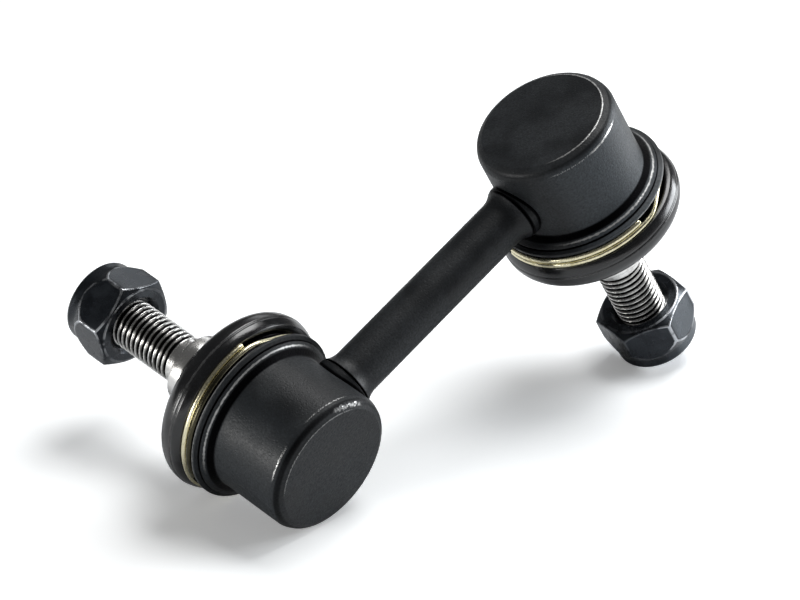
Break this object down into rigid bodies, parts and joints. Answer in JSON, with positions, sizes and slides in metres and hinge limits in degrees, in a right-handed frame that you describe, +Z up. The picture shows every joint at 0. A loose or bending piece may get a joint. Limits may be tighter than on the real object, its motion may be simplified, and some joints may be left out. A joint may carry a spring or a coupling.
{
  "type": "stabilizer link",
  "caption": "Short steel stabilizer link with a booted ball stud and lock nut at each end, the two studs set 105 degrees apart about the bar.",
  "frame": {"origin": "middle of the outer box at its lowest height, on the surface that the link lies on", "axes": "+Z up from that surface as the link lies at rest on cap and boot of end A and nut of end B; +X level, from end A towards end B; +Y level, away from the side that the cap of end A faces"},
  "size_m": [0.1192, 0.074, 0.0656],
  "materials": {
    "black_phosphate": "fine matt black phosphate coat with worn edges",
    "seat_plastic": "natural acetal",
    "ring_steel": "bare pressed steel",
    "ball_steel": "ground and polished",
    "stud_steel": "bright zinc-plated, rolled thread",
    "boot_rubber": "moulded black rubber with a soft sheen",
    "clip_wire": "yellow-passivated spring wire",
    "nut_black": "smooth black oxide with a blue-grey sheen",
    "insert_nylon": "blue nylon"
  },
  "bodies": {
    "link": {"link_rod": "black_phosphate", "housing_a": "black_phosphate", "ball_seat_a": "seat_plastic", "seat_retainer_a": "ring_steel", "dust_boot_a": "boot_rubber", "boot_clip_a": "clip_wire", "housing_b": "black_phosphate", "ball_seat_b": "seat_plastic", "seat_retainer_b": "ring_steel", "dust_boot_b": "boot_rubber", "boot_clip_b": "clip_wire"},
    "turned_ball_a": {"ball_a": "ball_steel"},
    "swung_neck_a": {"boot_neck_ring_a": "ring_steel"},
    "stud_a": {"stud_a": "stud_steel"},
    "carried_insert_a": {"nut_insert_a": "insert_nylon"},
    "nut_a": {"nut_a": "nut_black"},
    "turned_ball_b": {"ball_b": "ball_steel"},
    "swung_neck_b": {"boot_neck_ring_b": "ring_steel"},
    "stud_b": {"stud_b": "stud_steel"},
    "carried_insert_b": {"nut_insert_b": "insert_nylon"},
    "nut_b": {"nut_b": "nut_black"}
  },
  "joints": [
    {"name": "stud_a_turn", "type": "hinge", "parent": "link", "child": "turned_ball_a", "pos_m": [-0.03972, -0.01776, 0.01571], "axis": [-0.0938, 0.9777, 0.188], "continuous": true},
    {"name": "stud_a_swing", "type": "hinge", "parent": "turned_ball_a", "child": "swung_neck_a", "pos_m": [-0.03972, -0.01776, 0.01571], "axis": [0.8949, 0, 0.4462], "range_deg": [-25, 25], "deforming": ["dust_boot_a"]},
    {"name": "stud_a_spin", "type": "hinge", "parent": "swung_neck_a", "child": "stud_a", "pos_m": [-0.03972, -0.01776, 0.01571], "axis": [-0.0938, 0.9777, 0.188], "continuous": true},
    {"name": "nut_a_travel", "type": "slide", "parent": "stud_a", "child": "carried_insert_a", "axis": [-0.0938, 0.9777, 0.188], "range_m": [-0.01312, 0.03]},
    {"name": "nut_a_turn", "type": "hinge", "parent": "carried_insert_a", "child": "nut_a", "pos_m": [-0.03972, -0.01776, 0.01571], "axis": [-0.0938, 0.9777, 0.188], "range_deg": [-3790, 8650]},
    {"name": "stud_b_turn", "type": "hinge", "parent": "link", "child": "turned_ball_b", "pos_m": [0.02919, -0.01776, 0.05007], "axis": [0.4457, -0.0501, -0.8938], "continuous": true},
    {"name": "stud_b_swing", "type": "hinge", "parent": "turned_ball_b", "child": "swung_neck_b", "pos_m": [0.02919, -0.01776, 0.05007], "axis": [0.8949, 0, 0.4462], "range_deg": [-25, 25], "deforming": ["dust_boot_b"]},
    {"name": "stud_b_spin", "type": "hinge", "parent": "swung_neck_b", "child": "stud_b", "pos_m": [0.02919, -0.01776, 0.05007], "axis": [0.4457, -0.0501, -0.8938], "continuous": true},
    {"name": "nut_b_travel", "type": "slide", "parent": "stud_b", "child": "carried_insert_b", "axis": [0.4457, -0.0501, -0.8938], "range_m": [-0.01125, 0.03]},
    {"name": "nut_b_turn", "type": "hinge", "parent": "carried_insert_b", "child": "nut_b", "pos_m": [0.02919, -0.01776, 0.05007], "axis": [0.4457, -0.0501, -0.8938], "range_deg": [-3250, 8650]}
  ],
  "couplings": [
    {"joint": "nut_a_turn", "follows": "nut_a_travel", "rad_per_m": 5026.5},
    {"joint": "nut_b_turn", "follows": "nut_b_travel", "rad_per_m": 5026.5}
  ]
}
